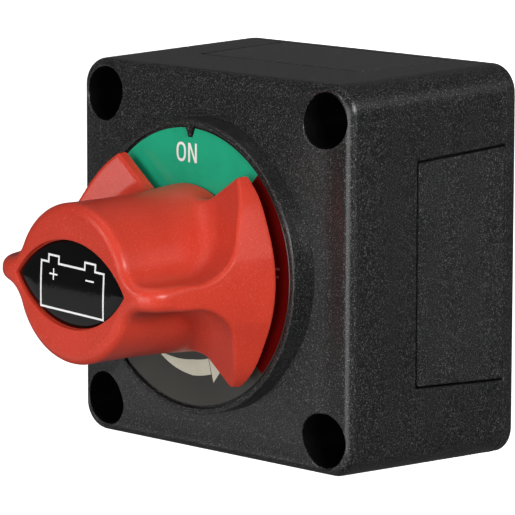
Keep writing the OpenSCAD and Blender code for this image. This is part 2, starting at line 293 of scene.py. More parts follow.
def field_surface(field, lo, hi, step):
    """Points and quads of a field's zero surface, one point per crossed cell, drawn onto the surface."""
    axes = [np.arange(a, b + step, step) for a, b in zip(lo, hi)]
    grid = np.meshgrid(*axes, indexing="ij")
    value = field(*grid)
    inside = value < 0
    cells = tuple(n - 1 for n in value.shape)
    total = np.zeros(cells + (3,))
    count = np.zeros(cells, dtype=int)
    crossings = []
    for axis in range(3):
        near = tuple(slice(None, -1) if k == axis else slice(None) for k in range(3))
        far = tuple(slice(1, None) if k == axis else slice(None) for k in range(3))
        i, j, k = np.nonzero(inside[near] != inside[far])
        a, b = value[near][i, j, k], value[far][i, j, k]
        at = np.stack([i, j, k], 1).astype(float)
        at[:, axis] += a / (a - b)
        u, v = [d for d in range(3) if d != axis]
        index = np.stack([i, j, k], 1)
        for du in (0, -1):
            for dv in (0, -1):
                cell = index.copy()
                cell[:, u] += du
                cell[:, v] += dv
                good = np.all((cell >= 0) & (cell < cells), axis=1)
                c = cell[good]
                np.add.at(total, (c[:, 0], c[:, 1], c[:, 2]), at[good])
                np.add.at(count, (c[:, 0], c[:, 1], c[:, 2]), 1)
        crossings.append((axis, index, inside[near][i, j, k]))
    active = count > 0
    number = np.full(cells, -1)
    number[active] = np.arange(active.sum())
    points = total[active] / count[active][:, None]
    points = points * step + np.array([a[0] for a in axes])
    quads = []
    for axis, index, starts_inside in crossings:
        u, v = [(1, 2), (2, 0), (0, 1)][axis]
        ring = []
        for du, dv in ((-1, -1), (0, -1), (0, 0), (-1, 0)):
            cell = index.copy()
            cell[:, u] += du
            cell[:, v] += dv
            ring.append(number[cell[:, 0], cell[:, 1], cell[:, 2]])
        quad = np.stack(ring, 1)
        quad[~starts_inside] = quad[~starts_inside][:, ::-1]
        quads.append(quad)
    quads = np.concatenate(quads)
    h = step * 0.02
    for _ in range(4):
        x, y, z = points.T
        f = field(x, y, z)
        slope = np.stack(
            [
                (field(x + h, y, z) - field(x - h, y, z)) / (2 * h),
                (field(x, y + h, z) - field(x, y - h, z)) / (2 * h),
                (field(x, y, z + h) - field(x, y, z - h)) / (2 * h),
            ],
            1,
        )
        move = f[:, None] * slope / np.maximum((slope**2).sum(1), 0.2)[:, None]
        points = points - np.clip(move, -step, step)
    return points, quads


# ---------------------------------------------------------------- materials


def shader(name, metallic=0.0, roughness=0.5, ior=1.46):
    """A new material: its node tree and its principled shader."""
    mat = bpy.data.materials.new(name)
    mat.use_nodes = True
    nodes = mat.node_tree.nodes
    bsdf = nodes["Principled BSDF"]
    bsdf.inputs["Metallic"].default_value = metallic
    bsdf.inputs["Roughness"].default_value = roughness
    bsdf.inputs["IOR"].default_value = ior
    return mat, mat.node_tree, bsdf


def place(tree, stretch=(1, 1, 1)):
    """Object coordinates in millimetres, stretched along the row axes."""
    coords = tree.nodes.new("ShaderNodeTexCoord")
    mapping = tree.nodes.new("ShaderNodeMapping")
    mapping.inputs["Scale"].default_value = [s / MM for s in stretch]
    tree.links.new(coords.outputs["Object"], mapping.inputs["Vector"])
    return mapping.outputs["Vector"]


def noise(tree, vector, size, detail=2.0, rough=0.5):
    """A noise with features of about that size in millimetres."""
    node = tree.nodes.new("ShaderNodeTexNoise")
    node.inputs["Scale"].default_value = 1.0 / size
    node.inputs["Detail"].default_value = detail
    node.inputs["Roughness"].default_value = rough
    tree.links.new(vector, node.inputs["Vector"])
    return node.outputs["Fac"]


def spread(tree, value, low, high, start=0.3, end=0.7):
    """Maps a value between start and end to between low and high."""
    node = tree.nodes.new("ShaderNodeMapRange")
    for key, number in (("From Min", start), ("From Max", end), ("To Min", low), ("To Max", high)):
        node.inputs[key].default_value = number
    tree.links.new(value, node.inputs["Value"])
    return node.outputs["Result"]


def blend_colors(tree, factor, first, second):
    """Mixes two colours, each a tuple or a socket, by a factor socket."""
    node = tree.nodes.new("ShaderNodeMix")
    node.data_type = "RGBA"
    for key, color in (("A", first), ("B", second)):
        socket = [s for s in node.inputs if s.name == key and s.type == "RGBA"][0]
        if isinstance(color, tuple):
            socket.default_value = (*color, 1)
        else:
            tree.links.new(color, socket)
    tree.links.new(factor, node.inputs["Factor"])
    return [s for s in node.outputs if s.type == "RGBA"][0]


def bump(tree, bsdf, height, depth):
    """Bump of that depth in millimetres. Further calls stack on it."""
    node = tree.nodes.new("ShaderNodeBump")
    node.inputs["Strength"].default_value = 1.0
    node.inputs["Distance"].default_value = depth * MM
    tree.links.new(height, node.inputs["Height"])
    if bsdf.inputs["Normal"].is_linked:
        tree.links.new(bsdf.inputs["Normal"].links[0].from_socket, node.inputs["Normal"])
    tree.links.new(node.outputs["Normal"], bsdf.inputs["Normal"])


def grained_plastic(name, color, speck, grain=0.22, depth=0.01, roughness=(0.26, 0.4)):
    """Moulded plastic with a spark-eroded grain, bright specks and broad uneven patches."""
    mat, tree, bsdf = shader(name)
    at = place(tree)
    fine = noise(tree, at, grain, 2.0, 0.7)
    broad = noise(tree, at, 5.0, 5.0, 0.65)
    tone = blend_colors(tree, spread(tree, broad, 0, 1), color, tuple(c * 1.5 for c in color))
    specks = spread(tree, noise(tree, at, grain, 1.0, 0.7), 0, 1, 0.56, 0.72)
    tree.links.new(blend_colors(tree, specks, tone, speck), bsdf.inputs["Base Color"])
    tree.links.new(spread(tree, fine, *roughness), bsdf.inputs["Roughness"])
    bump(tree, bsdf, fine, depth)
    return mat


def metal(name, color, dark):
    """Machined or plated metal with fine turning marks and patches of tarnish."""
    mat, tree, bsdf = shader(name, metallic=1.0)
    marks = noise(tree, place(tree, (0.4, 6, 0.4)), 0.5, 3.0)
    patches = noise(tree, place(tree), 4.0, 4.0, 0.6)
    factor = spread(tree, patches, 0, 0.35, 0.4, 0.75)
    tree.links.new(blend_colors(tree, factor, color, dark), bsdf.inputs["Base Color"])
    tree.links.new(spread(tree, patches, 0.22, 0.42), bsdf.inputs["Roughness"])
    bump(tree, bsdf, marks, 0.01)
    return mat


def coated(name, color, roughness=(0.14, 0.24)):
    """Print or gloss moulding: clean colour under a thin glossy coat, with faint wear."""
    mat, tree, bsdf = shader(name, ior=1.38)
    at = place(tree)
    grain, depth = 0.6, 0.004
    wear = noise(tree, at, 5.0, 4.0, 0.6)
    factor = spread(tree, wear, 0, 1, 0.45, 0.8)
    tone = blend_colors(tree, factor, color, tuple(c * 0.86 for c in color))
    tree.links.new(tone, bsdf.inputs["Base Color"])
    tree.links.new(spread(tree, noise(tree, at, grain, 2.0), *roughness), bsdf.inputs["Roughness"])
    bump(tree, bsdf, noise(tree, at, grain, 2.0), depth)
    return mat


HOUSING_BLACK = grained_plastic("housing_black", (0.0048, 0.005, 0.0051), (0.12, 0.12, 0.12))
COVER_BLACK = grained_plastic("cover_black", (0.0045, 0.0047, 0.0046), (0.13, 0.13, 0.128))
PLATE_BLACK = grained_plastic("plate_black", (0.006, 0.0062, 0.0063), (0.17, 0.17, 0.172))
# Near-black for the screw wells' inner walls: painted shade that stands in for the shadow down in the
# counterbores.
WELL_PAINTED_SHADE = grained_plastic("well_painted_shade", (0.002, 0.002, 0.002), (0.004, 0.004, 0.004), 0.4, 0.01)
BASE_BROWN = grained_plastic("base_plastic", (0.05, 0.042, 0.036), (0.08, 0.07, 0.06), 0.5)
ROTOR_WHITE = grained_plastic("rotor_plastic", (0.62, 0.58, 0.5), (0.7, 0.67, 0.6), 0.6, 0.01)
WASHER_WHITE = grained_plastic("washer_plastic", (0.7, 0.66, 0.56), (0.78, 0.75, 0.68), 0.5, 0.01)
SEAL_RUBBER = grained_plastic(
    "seal_rubber", (0.012, 0.012, 0.012), (0.03, 0.03, 0.03), 0.4, 0.02, (0.7, 0.9)
)
DIAL_GREEN = coated("dial_green", (0.015, 0.39, 0.21))
DIAL_RED = coated("dial_red", (0.11, 0.002, 0.0015))
DIAL_PINK = coated("dial_pink", (0.36, 0.06, 0.06))
DIAL_GREY = coated("dial_grey", (0.045, 0.044, 0.039))
DIAL_WHITE = coated("dial_white", (0.86, 0.87, 0.83))
DIAL_BEIGE = coated("dial_beige", (0.64, 0.63, 0.51))
FILM_EDGE = coated("film_edge", (0.03, 0.03, 0.027))
BADGE_BLACK = coated("badge_black", (0.002, 0.002, 0.002), (0.05, 0.09))
BADGE_WHITE = coated("badge_white", (0.9, 0.9, 0.9), (0.2, 0.3))
BRASS = metal("stud_brass", (0.72, 0.52, 0.24), (0.3, 0.19, 0.08))
COPPER = metal("bridge_copper", (0.76, 0.36, 0.2), (0.32, 0.14, 0.08))
SILVER = metal("tip_silver", (0.82, 0.81, 0.77), (0.42, 0.4, 0.36))
ZINC = metal("zinc_steel", (0.66, 0.67, 0.68), (0.36, 0.36, 0.35))
SPRING_STEEL = metal("spring_steel", (0.42, 0.42, 0.43), (0.2, 0.2, 0.2))


def knob_red():
    """Satin red moulding with a fine spark texture, paler specks and faint flow marks."""
    mat, tree, bsdf = shader("knob_red", roughness=0.45, ior=1.46)
    at = place(tree)
    flow = noise(tree, at, 14.0, 3.0)
    deep, bright = (0.5, 0.036, 0.018), (0.6, 0.048, 0.025)
    tone = blend_colors(tree, spread(tree, flow, 0, 1), deep, bright)
    specks = spread(tree, noise(tree, at, 0.22, 1.0), 0, 0.5, 0.6, 0.74)
    tree.links.new(blend_colors(tree, specks, tone, (0.8, 0.16, 0.11)), bsdf.inputs["Base Color"])
    fine = noise(tree, at, 0.3, 3.0, 0.6)
    tree.links.new(spread(tree, fine, 0.26, 0.38), bsdf.inputs["Roughness"])
    bsdf.inputs["Specular IOR Level"].default_value = 0.36
    bsdf.inputs["Subsurface Weight"].default_value = 0.08
    bsdf.inputs["Subsurface Radius"].default_value = (0.0012, 0.0003, 0.0002)
    bump(tree, bsdf, fine, 0.006)
    bump(tree, bsdf, noise(tree, at, 2.5, 2.0), 0.008)
    return mat


KNOB_RED = knob_red()


# ---------------------------------------------------------------- housing


def half_at(z):
    """Half width of the drafted body at height z."""
    return REAR_HALF + (FRONT_HALF - REAR_HALF) * (z - COVER_T) / (EDGE_Z - COVER_T)


def ease(z, z0, z1):
    """0 before z0, 1 after z1, and smooth between them."""
    f = np.clip((z - z0) / (z1 - z0), 0, 1)
    return f * f * (3 - 2 * f)


def crown(x, y):
    """Height of the front face: a shallow dome that levels out at the corners."""
    dome = FACE_TOP - FACE_R + math.sqrt(FACE_R**2 - x * x - y * y)
    blend = 0.4
    step = max(blend - abs(dome - CORNER_Z), 0)
    return max(dome, CORNER_Z) + step * step / (4 * blend)


def edge_r(x, y):
    """Radius of the front edge beside a point: large between the screw holes, small at the corners."""
    return FRONT_EDGE_R + (CORNER_EDGE_R - FRONT_EDGE_R) * float(ease(min(abs(x), abs(y)), 20.5, 26.5))


def skin_z(x, y):
    """Height of the body's outside over a point, with its rounded front edge."""
    c = FRONT_HALF - CORNER_R
    u, v = max(abs(x) - c, 0), max(abs(y) - c, 0)
    inside = CORNER_R - math.hypot(u, v) if u and v else FRONT_HALF - max(abs(x), abs(y))
    r = edge_r(x, y)
    out = r - min(max(inside, 0), r)
    return crown(x, y) - r + math.sqrt(r**2 - out**2)


def cavity_outline(half, tube):
    """A square that leaves its corners to the screw tubes."""
    points = []
    for i in range(4):
        c = SCREW_AT
        corner = [(half, c - tube)] + arc(c, c, tube, 270, 180, 12) + [(c - tube, half)]
        points += [(x, y) for x, y, _ in turned([(x, y, 0) for x, y in corner], 90 * i)]
    return points


def body_skin():
    """The moulding's outside: drafted sides, a rounded front edge and a shallow dome."""
    edge = [(x, y) for x, y, _ in rounded_square(FRONT_HALF, CORNER_R, 0, 12, 24)]
    radii = [edge_r(x, y) for x, y in edge]
    tops = [crown(x, y) - r for (x, y), r in zip(edge, radii)]
    loops = [rounded_square(REAR_HALF - 0.12, CORNER_R - 0.12, COVER_T, 12, 24)]
    for f in np.linspace(0, 1, 9):
        loop = []
        for (x, y), top in zip(edge, tops):
            z = COVER_T + 0.12 + f * (top - COVER_T - 0.12)
            s = half_at(z) / FRONT_HALF
            loop.append((x * s, y * s, z))
        loops.append(loop)
    c = FRONT_HALF - CORNER_R
    for a in range(10, 91, 10):
        loop = []
        for (x, y), r, top in zip(edge, radii, tops):
            u, v = max(abs(x) - c, 0), max(abs(y) - c, 0)
            u, v = (u, v) if u and v else ((1, 0) if abs(x) > abs(y) else (0, 1))
            inset = r * (1 - math.cos(math.radians(a))) / math.hypot(u, v)
            s = half_at(top) / FRONT_HALF
            px, py = x - math.copysign(u, x) * inset, y - math.copysign(v, y) * inset
            loop.append((px * s, py * s, crown(px, py) - r * (1 - math.sin(math.radians(a)))))
        loops.append(loop)
    inner = loops[-1]
    for s in np.linspace(0.96, 0.2, 20):
        loops.append([(x * s, y * s, crown(x * s, y * s)) for x, y, _ in inner])
    return loft("housing_body", loops)


def collar_profile():
    """Outside of the dial collar, from under the front face to its rim and in to the axis."""
    rim = 0.35
    lip = arc(COLLAR_OUT_R - rim, COLLAR_TOP_Z - rim, rim, 0, 90, 5)
    return [(0, 38.5), (COLLAR_OUT_R, 38.5)] + lip + [(0, COLLAR_TOP_Z)]


def entry_outline(grow):
    """Trapezium of a cable entry as (along the wall, height), with small round corners."""
    low, high = COVER_T - 1, PLATE_FRONT_Z + grow
    slope = (PLATE_HALF_REAR - PLATE_HALF_FRONT) / (PLATE_FRONT_Z - COVER_T)
    r = 0.35
    wide = PLATE_HALF_FRONT + grow
    foot = wide + slope * (high - low)
    right = [(foot, low)] + arc(wide - r, high - r, r, 0, 90, 4)
    left = [(-x, z) for x, z in reversed(right)]
    return right + left


def entry_cutter(name, i):
    """Tool that opens one cable entry, flared a little where it breaks the wall."""
    loops = []
    flare = 0.14
    for inset, grow in ((5.0, 0), (flare, 0), (-0.5, flare + 0.5)):
        loop = []
        for along, z in entry_outline(grow):
            loop.append((half_at(max(z, COVER_T)) - inset, along, z))
        loops.append(turned(loop, 90 * i))
    return loft(name, loops)


def screw_well(x, y):
    """Tool for one counterbored screw hole, with a rounded mouth that follows the face."""
    mouth, steps = 0.3, 64
    loops = [circle_loop(r, z, steps, (x, y)) for r, z in ((0.01, -1), (SCREW_HOLE_R, -1))]
    loops += [circle_loop(r, HEAD_SEAT_Z, steps, (x, y)) for r in (SCREW_HOLE_R, HEAD_WELL_R)]
    circle = circle_loop(HEAD_WELL_R + mouth, 0, steps, (x, y))
    rim = [skin_z(px, py) for px, py, _ in circle]
    for a in (0, 22, 45, 68, 90):
        r = HEAD_WELL_R + mouth * (1 - math.cos(math.radians(a)))
        rise = mouth * (1 - math.sin(math.radians(a)))
        loops.append([
            (px, py, z - rise) for (px, py, _), z in zip(circle_loop(r, 0, steps, (x, y)), rim)
        ])
    loops += [circle_loop(r, 46, steps, (x, y)) for r in (HEAD_WELL_R + mouth, 0.01)]
    return loft("tool", loops)


CORNERS = [(sx, sy) for sx in (1, -1) for sy in (1, -1)]


def ring_solid(name, profile, steps=64, at=(0, 0), across=0):
    """A closed (radius, z) outline turned about the z axis, trimmed to a hexagon if across is set."""
    n = len(profile)
    points, faces = [], []
    for k in range(steps):
        a = TURN * k / steps
        reach = across / 2 / math.cos(a % (TURN / 6) - TURN / 12) if across else math.inf
        for r, z in profile:
            r = min(r, reach)
            points.append((at[0] + r * math.cos(a), at[1] + r * math.sin(a), z))
        m = (k + 1) % steps
        faces += [
            (k * n + i, m * n + i, m * n + (i + 1) % n, k * n + (i + 1) % n) for i in range(n)
        ]
    obj = mesh_object(name, points, faces)
    face_outwards(obj)
    return obj


def rect_profile(r0, r1, z0, z1, c=0.12):
    """A rectangle with small chamfers, as a (radius, z) outline."""
    return [
        (r0 + c, z0), (r1 - c, z0), (r1, z0 + c), (r1, z1 - c),
        (r1 - c, z1), (r0 + c, z1), (r0, z1 - c), (r0, z0 + c),
    ]


def dial_pointer():
    """The small V on the collar that fits the label's notch."""
    shape = [(-1.15, 25.2), (1.15, 25.2), (0.35, 22.95), (-0.35, 22.95)]
    loops = [[(x, y, LABEL_SEAT_Z - 0.2) for x, y in shape]]
    loops.append([(x, y, COLLAR_TOP_Z - 0.15) for x, y in shape])
    loops.append([(x * 0.8, y * 0.98 + 0.35, COLLAR_TOP_Z) for x, y in shape])
    return loft("tool", loops)


def make_housing():
    """The moulded body: outer skin and collar, with its cavities, wells, entries, boss and pillars."""
    body = body_skin()
    combine(body, [lathe("tool", collar_profile(), 160)], "UNION")
    rim = arc(COLLAR_IN_R + 0.15, COLLAR_TOP_Z - 0.15, 0.15, 180, 90, 3)
    seat = [(0, LABEL_SEAT_Z), (COLLAR_IN_R, LABEL_SEAT_Z)] + rim
    seat += [(COLLAR_IN_R + 0.15, COLLAR_TOP_Z + 1), (0, COLLAR_TOP_Z + 1)]
    cuts = [lathe("tool", seat, 160)]
    cuts.append(prism("tool", cavity_outline(CAVITY_HALF, TUBE_R), -1, LEDGE_Z))
    cuts.append(prism("tool", cavity_outline(CHAMBER_HALF, TUBE_R), LEDGE_Z - 1, CHAMBER_TOP_Z))
    cuts.append(lathe("tool", [(RELIEF_R, 36), (RELIEF_R, RELIEF_TOP_Z)], 96))
    cuts.append(lathe("tool", [(BEARING_R, 36), (BEARING_R, 46)], 48))
    cuts += [screw_well(sx * SCREW_AT, sy * SCREW_AT) for sx, sy in CORNERS]
    cuts += [entry_cutter("tool", i) for i in range(4)]
    combine(body, cuts, "DIFFERENCE")
    boss = rect_profile(BEARING_R, BOSS_R, 38, RELIEF_TOP_Z + 0.2)
    adds = [ring_solid("tool", boss, 64), dial_pointer()]
    pillar = rect_profile(PILLAR_HOLE_R, PILLAR_R, LEDGE_Z + 0.03, CHAMBER_TOP_Z + 0.1, 0.08)
    x, y = BASE_SCREW_AT
    adds += [ring_solid("tool", pillar, 24, (sx * x, sy * y)) for sx, sy in CORNERS]
    combine(body, adds, "UNION")
    welded(body)
    smooth(body, 28)
    body.data.materials.append(HOUSING_BLACK)
    body.data.materials.append(WELL_PAINTED_SHADE)
    # Faces inside a screw well that lie deeper than well_rim below the face get the darker black:
    # painted shade in the wells.
    well_rim = 0.6
    for face in body.data.polygons:
        x, y, z = (abs(v) / MM for v in (face.center.x, face.center.z, face.center.y))
        if math.hypot(x - SCREW_AT, y - SCREW_AT) < HEAD_WELL_R and z < skin_z(x, y) - well_rim:
            face.material_index = 1
    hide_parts("housing")
    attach(body, "housing")
    return body


make_housing()


# ---------------------------------------------------------------- rear cover and cable plates


def make_rear_cover():
    """A flat cover with rounded edges, a locating lip, four screw holes and four gate marks."""
    edge = 0.3
    loops = []
    for inset, z in ((edge, 0), (0.08, 0.1), (0, edge), (0, COVER_T - 0.12), (0.12, COVER_T)):
        loops.append(rounded_square(REAR_HALF - inset, CORNER_R - inset, z))
    cover = loft("rear_cover_moulding", loops)
    lip = prism("tool", cavity_outline(CAVITY_HALF - 0.2, TUBE_R + 0.2), COVER_T - 0.3, COVER_T + 1.8)
    inner = cavity_outline(CAVITY_HALF - 1.8, TUBE_R + 1.8)
    combine(lip, [prism("tool", inner, COVER_T - 1, COVER_T + 3)], "DIFFERENCE")
    combine(cover, [lip], "UNION")
    cuts = []
    for sx, sy in CORNERS:
        flare = [(0, -1), (3.6, -1), (SCREW_HOLE_R, 0.3), (SCREW_HOLE_R, 6), (0, 6)]
        cuts.append(lathe("tool", flare, 48, (sx * SCREW_AT, sy * SCREW_AT)))
        gate_mark = [(2.0, -1), (2.0, 0.12)]
        cuts.append(lathe("tool", gate_mark, 32, (sx * 12, sy * 12)))
    combine(cover, cuts, "DIFFERENCE")
    smooth(cover, 28)
    cover.data.materials.append(COVER_BLACK)
    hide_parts("rear_cover")
    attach(cover, "rear_cover")


def plate_outline(inset):
    """Trapezium of a cable plate as (along the wall, height)."""
    low = COVER_T + 0.15 + inset
    high = PLATE_FRONT_Z - 0.42 - inset
    slope = (PLATE_HALF_REAR - PLATE_HALF_FRONT) / (PLATE_FRONT_Z - COVER_T)
    wide = PLATE_HALF_FRONT - 0.45 - inset
    r = 0.3
    foot = wide + slope * (high - low)
    right = arc(foot - r, low + r, r, -90, 0, 3) + arc(wide - r, high - r, r, 0, 90, 3)
    left = [(-x, z) for x, z in reversed(right)]
    return right + left


def make_cable_plate(i, side):
    """A panel that fills one cable entry, with two snap legs inside."""
    edge = 0.16
    loops = []
    for inset, back in ((0.1, None), (0, None), (0, edge), (edge * 0.3, edge * 0.3), (edge, 0)):
        loop = []
        for along, z in plate_outline(inset):
            x = REAR_HALF - 2.6 + (0.1 if inset == 0 else 0) if back is None else half_at(z) - back
            loop.append((x, along, z))
        loops.append(turned(loop, 90 * i))
    plate = loft(f"cable_plate_{side}_moulding", loops)
    inner = REAR_HALF - 2.6
    legs = []
    for s in (1, -1):
        mid = s * (PLATE_HALF_FRONT - 2.5)
        tip = []
        for x, w, z0, z1 in (
            (inner - 3, 0.55, 7.4, 18.6),
            (inner - 2.7, 0.75, 7, 19),
            (inner + 0.5, 0.75, 7, 19),
        ):
            loop = [(x, mid - w, z0), (x, mid + w, z0), (x, mid + w, z1), (x, mid - w, z1)]
            tip.append(turned(loop, 90 * i))
        legs.append(loft("tool", tip))
    combine(plate, legs, "UNION")
    smooth(plate, 28)
    plate.data.materials.append(PLATE_BLACK)
    node = f"cable_plate_{side}"
    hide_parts(node)
    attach(plate, node)


make_rear_cover()
for number, side in enumerate(("right", "top", "left", "bottom")):
    make_cable_plate(number, side)


# ---------------------------------------------------------------- dial label


def on_knob(obj):
    """Finishes a piece that turns with the knob: it is made level and stands at the knob's play."""
    a = math.radians(KNOB_PLAY)
    obj.data.transform(Matrix.Rotation(-a, 4, "Y"))
    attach(obj, "knob")
    return obj


def strip(points, width, closed=False):
    """Left and right rails of a stroke of constant width with mitred corners."""
    n = len(points)
    left, right = [], []
    for i, (x, y) in enumerate(points):
        before = points[i - 1] if closed or i > 0 else None
        after = points[(i + 1) % n] if closed or i < n - 1 else None
        d = []
        if before is not None:
            d.append(Vector((x - before[0], y - before[1])).normalized())
        if after is not None:
            d.append(Vector((after[0] - x, after[1] - y)).normalized())
        mean = (d[0] + d[-1]).normalized()
        normal = Vector((-mean.y, mean.x))
        reach = width / 2 / max(normal.dot(Vector((-d[0].y, d[0].x))), 0.35)
        left.append((x + normal.x * reach, y + normal.y * reach))
        right.append((x - normal.x * reach, y - normal.y * reach))
    return left, right


PRINT_T = 0.02


def inked(name, strokes, z, material, outlines=()):
    """Thin raised print from (left rail, right rail, closed) strokes and closed outlines."""
    points, faces = [], []
    for left, right, closed in strokes:
        n, start = len(left), len(points)
        for x, y in left + right:
            points += [(x, y, z), (x, y, z - PRINT_T)]
        for i in range(n if closed else n - 1):
            j = (i + 1) % n
            a, b = start + 2 * i, start + 2 * j
            c, d = a + 2 * n, b + 2 * n
            faces += [(a, c, d, b), (a + 1, b + 1, d + 1, c + 1)]
            faces += [(a, b, b + 1, a + 1), (c, c + 1, d + 1, d)]
        if not closed:
            for a in (start, start + 2 * (n - 1)):
                faces.append((a, a + 1, a + 2 * n + 1, a + 2 * n))
    for outline in outlines:
        n, start = len(outline), len(points)
        points += [(x, y, h) for h in (z, z - PRINT_T) for x, y in outline]
        top = list(range(start, start + n))
        faces += [tuple(top), tuple(i + n for i in reversed(top))]
        faces += [(i, j, j + n, i + n) for i, j in zip(top, top[1:] + top[:1])]
    obj = mesh_object(name, points, faces)
    face_outwards(obj)
    obj.data.materials.append(material)
    return obj


def moved(points, at):
    """Points shifted by at."""
    return [(at[0] + x, at[1] + y) for x, y in points]


def letter_o(w, h, t, at):
    """A narrow O as a closed stroke."""
    ring = []
    for k in range(32):
        a = TURN * k / 32
        c, s = math.cos(a), math.sin(a)
        ring.append((
            (w - t) / 2 * math.copysign(abs(c) ** 0.8, c),
            (h - t) / 2 * math.copysign(abs(s) ** 0.8, s),
        ))
    return [(*strip(moved(ring, at), t, True), True)]


def letter_n(w, h, t, at):
    """Outline of an N."""
    x, y = w / 2, h / 2
    half = [(-x, -y), (-x, y), (-x + t * 1.15, y), (x - t, -y + t * 1.7), (x - t, y)]
    return moved(half + [(-px, -py) for px, py in half], at)


def letter_f(w, h, t, at):
    """Outline of an F."""
    x, y, bar = w / 2, h / 2, 0.02 * h
    shape = [(-x, -y), (-x, y), (x, y), (x, y - t), (-x + t, y - t), (-x + t, bar + t / 2)]
    shape += [(x * 0.86, bar + t / 2), (x * 0.86, bar - t / 2), (-x + t, bar - t / 2), (-x + t, -y)]
    return moved(shape, at)


def dial_words():
    """Generic ON at the top and OFF at both sides."""
    h, t = 3.4, 0.46
    z = LABEL_TOP_Z + PRINT_T
    on = inked("dial_word_on", letter_o(2.35, h, t, (-2.3, 19.95)), z, DIAL_WHITE,
               [letter_n(2.15, h, t, (0.52, 19.95))])
    rings, stems = [], []
    for side in (1, -1):
        mid = side * 18.0
        rings += letter_o(2.6, h, t, (mid - 2.7, 0.6))
        stems += [letter_f(2.0, h, t, (mid + 0.3, 0.6)), letter_f(2.0, h, t, (mid + 2.9, 0.6))]
    return on, inked("dial_word_off", rings, z, DIAL_PINK, stems)


def dial_arrow():
    """Curved arrow that shows the way to turn, from the lower left to the lower right."""
    z = LABEL_TOP_Z + PRINT_T
    outer, inner = [], []
    for k in range(25):
        f = k / 24
        a = math.radians(-116 + 42 * f)
        width = 0.2 + 2.6 * min(f * 1.5, 1) ** 0.8
        mid = 17.7 - 0.1 * f
        outer.append(((mid + width / 2) * math.cos(a), (mid + width / 2) * math.sin(a)))
        inner.append(((mid - width / 2) * math.cos(a), (mid - width / 2) * math.sin(a)))
    foot, end = math.radians(-73.5), math.radians(-58)
    inside, outside = ((r * math.cos(foot), r * math.sin(foot)) for r in (14.5, 20.5))
    tip = (17.8 * math.cos(end), 17.8 * math.sin(end))
    head = ([outside, tip_side(tip, 0.01)], [inside, tip_side(tip, -0.01)], False)
    return inked("dial_arrow", [(outer, inner, False), head], z, DIAL_BEIGE)


def tip_side(point, d):
    """A point beside an arrow's tip, so that the tip keeps two corners."""
    r = math.hypot(*point)
    return (point[0] * (1 + d / r), point[1] * (1 + d / r))


def make_label():
    """Glossy printed film in four coloured quarters, with a dark cut edge."""
    radii = [(9.0, LABEL_SEAT_Z), (9.0, LABEL_TOP_Z), (DIAL_R - 0.13, LABEL_TOP_Z)]
    radii += [(DIAL_R, LABEL_TOP_Z - 0.08), (DIAL_R, LABEL_SEAT_Z)]
    label = ring_solid("dial_label_film", radii, 192)
    notch = [(-1.65, DIAL_R + 1), (1.65, DIAL_R + 1), (0.55, 22.65), (-0.55, 22.65)]
    combine(label, [prism("tool", notch, LABEL_SEAT_Z - 1, LABEL_TOP_Z + 1)], "DIFFERENCE")
    mesh = label.data
    for mat in (DIAL_RED, DIAL_GREEN, DIAL_RED, DIAL_GREY, FILM_EDGE):
        mesh.materials.append(mat)
    for face in mesh.polygons:
        x, _, y = face.center
        quarter = int(((math.degrees(math.atan2(y, x)) + 43.125) % 360) // 90)
        if face.normal.y < -0.9 or math.hypot(x, y) < 0.0095:
            face.material_index = quarter
        else:
            face.material_index = 4
    smooth(label, 20, False)
    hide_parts("dial_label")
    for piece in (label, *dial_words(), dial_arrow()):
        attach(piece, "housing")


make_label()


# ---------------------------------------------------------------- knob


WINDOW_FOOT = (8.2, 13.4)
WINDOW_SLOPE = math.radians(36)
SCOOP_RISE = math.radians(24)
EYE_HALF = (13.7, 7.6)
EYE_FLOOR = KNOB_FRONT - 1.2
BARREL_R = 13.75
WING_R = 23.4
TIP_REACH = 0.8
WING_T = 2.2
RIB_HALF = 2.3


def knob_field(x, y, z):
    """Distance-like field of the knob, symmetric left to right and top to bottom."""
    x, y = np.abs(x), np.abs(y)
    r = np.hypot(x, y)
    barrel = r - BARREL_R - 0.95 * ((z - 66) / 20.4) ** 2
    reach = WING_R + TIP_REACH * ease(y, 9, 17)
    cone = (r - (reach - 3.1 * (z - WING_Z) / 22)) * 0.97
    grip = cross_round(cone, z - KNOB_FRONT, 4.5)
    rib = y - RIB_HALF + (z - 60) * 0.012
    into = (x - WINDOW_FOOT[0]) * math.sin(WINDOW_SLOPE)
    into = into - (y - WINDOW_FOOT[1]) * math.cos(WINDOW_SLOPE)
    floor = (z - WING_Z - WING_T - into * math.tan(SCOOP_RISE)) * math.cos(SCOOP_RISE)
    wing = cross_round(cross_round(-into, grip, 0.35), floor, 0.45)
    wing = union_round(wing, rib, 6.0)
    wing = cross_round(wing, WING_Z - z, 0.25)
    sides = union_round(barrel, wing, 0.3 + 2.7 * ease(z, 47, 50))
    whole = cross_round(sides, grip, 0.8 + 1.1 * ease(z, 64, 71))
    return cross_round(whole, KNOB_BOTTOM - z, 0.3)


def lens_outline(half_w, half_h, steps=40):
    """Eye shape of two arcs."""
    r = (half_w**2 + half_h**2) / (2 * half_h)
    a = math.degrees(math.asin(half_w / r))
    upper = arc(0, half_h - r, r, 90 - a, 90 + a, steps)
    return upper + [(-x, -y) for x, y in upper[1:-1]]


